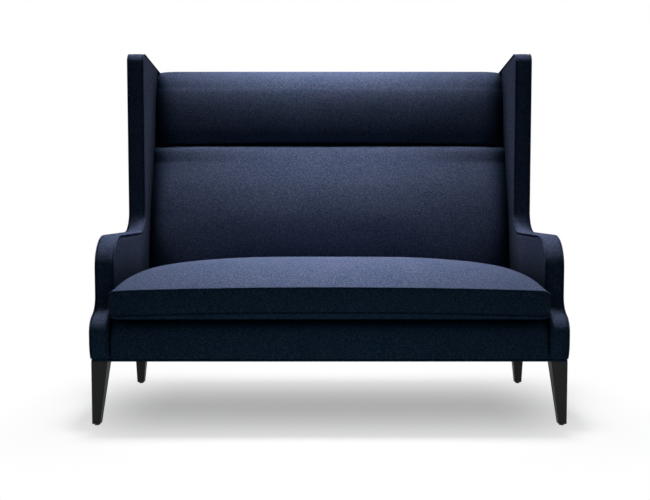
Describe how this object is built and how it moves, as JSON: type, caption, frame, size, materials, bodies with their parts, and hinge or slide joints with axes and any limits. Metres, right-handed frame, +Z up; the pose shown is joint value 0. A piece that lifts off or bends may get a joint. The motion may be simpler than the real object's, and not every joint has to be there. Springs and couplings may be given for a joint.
{
  "type": "high back settee",
  "caption": "High back two-seat settee in navy felt: winged sides flowing into rolled arms, bolstered back, one loose box cushion and tapered black legs.",
  "frame": {"origin": "middle of the bounding box on the floor, so z = 0 is the floor under the glides", "axes": "+X along the seat towards the viewer's right, the front faces -Y, +Z up"},
  "size_m": [1.4, 0.814, 1.174],
  "materials": {
    "felt": "matt navy wool felt, slightly flecked",
    "foam": "open foam and wadding",
    "frame_wood": "plain sawn beech and plywood",
    "black_wood": "black stain, satin",
    "steel": "bright wire",
    "clip_plastic": "plain",
    "glide_plastic": "plain",
    "lining": "black lining cloth",
    "webbing": "woven elastic strap",
    "zip_tape": "zip tape and coil",
    "zip_metal": "black"
  },
  "bodies": {
    "settee": {"back_board": "frame_wood", "back_leg_left": "black_wood", "back_leg_right": "black_wood", "back_post_left": "frame_wood", "back_post_right": "frame_wood", "back_seat_rail": "frame_wood", "back_webbing": "webbing", "base_welt": "felt", "bolster_cover": "felt", "bolster_pad": "foam", "centre_seat_rail": "frame_wood", "centre_stile": "frame_wood", "corner_blocks": "frame_wood", "deck_cover": "lining", "deck_pad": "foam", "dust_cover": "lining", "facing_cover_left": "felt", "facing_cover_right": "felt", "facing_pad_left": "foam", "facing_pad_right": "foam", "facing_welts_left": "felt", "facing_welts_right": "felt", "frame_dowels": "frame_wood", "front_edge_roll": "foam", "front_leg_left": "black_wood", "front_leg_right": "black_wood", "front_rail_cover": "felt", "front_seat_rail": "frame_wood", "inside_cover_left": "felt", "inside_cover_right": "felt", "leg_bolts": "steel", "leg_glides": "glide_plastic", "leg_inserts": "steel", "lower_back_cover": "felt", "lower_back_pad": "foam", "lower_back_rail": "frame_wood", "mid_back_rail": "frame_wood", "outside_back_cover": "felt", "outside_cover_left": "felt", "outside_cover_right": "felt", "seat_springs": "steel", "side_frame_left": "frame_wood", "side_frame_right": "frame_wood", "side_inner_pad_left": "foam", "side_inner_pad_right": "foam", "side_outer_wadding_left": "foam", "side_outer_wadding_right": "foam", "side_seat_rail_left": "frame_wood", "side_seat_rail_right": "frame_wood", "spring_clips": "clip_plastic", "spring_insulator": "lining", "top_back_rail": "frame_wood"},
    "seat_cushion": {"cushion_core": "foam", "cushion_cover": "felt", "cushion_welts": "felt", "cushion_zip": "zip_tape"},
    "zip_slider": {"zip_slider": "zip_metal"}
  },
  "joints": [
    {"name": "cushion_lift", "type": "slide", "parent": "settee", "child": "seat_cushion", "axis": [0, 0, 1], "range_m": [0, 0.9]},
    {"name": "zip_slide", "type": "slide", "parent": "seat_cushion", "child": "zip_slider", "axis": [1, 0, 0], "range_m": [0, 1.096]}
  ]
}
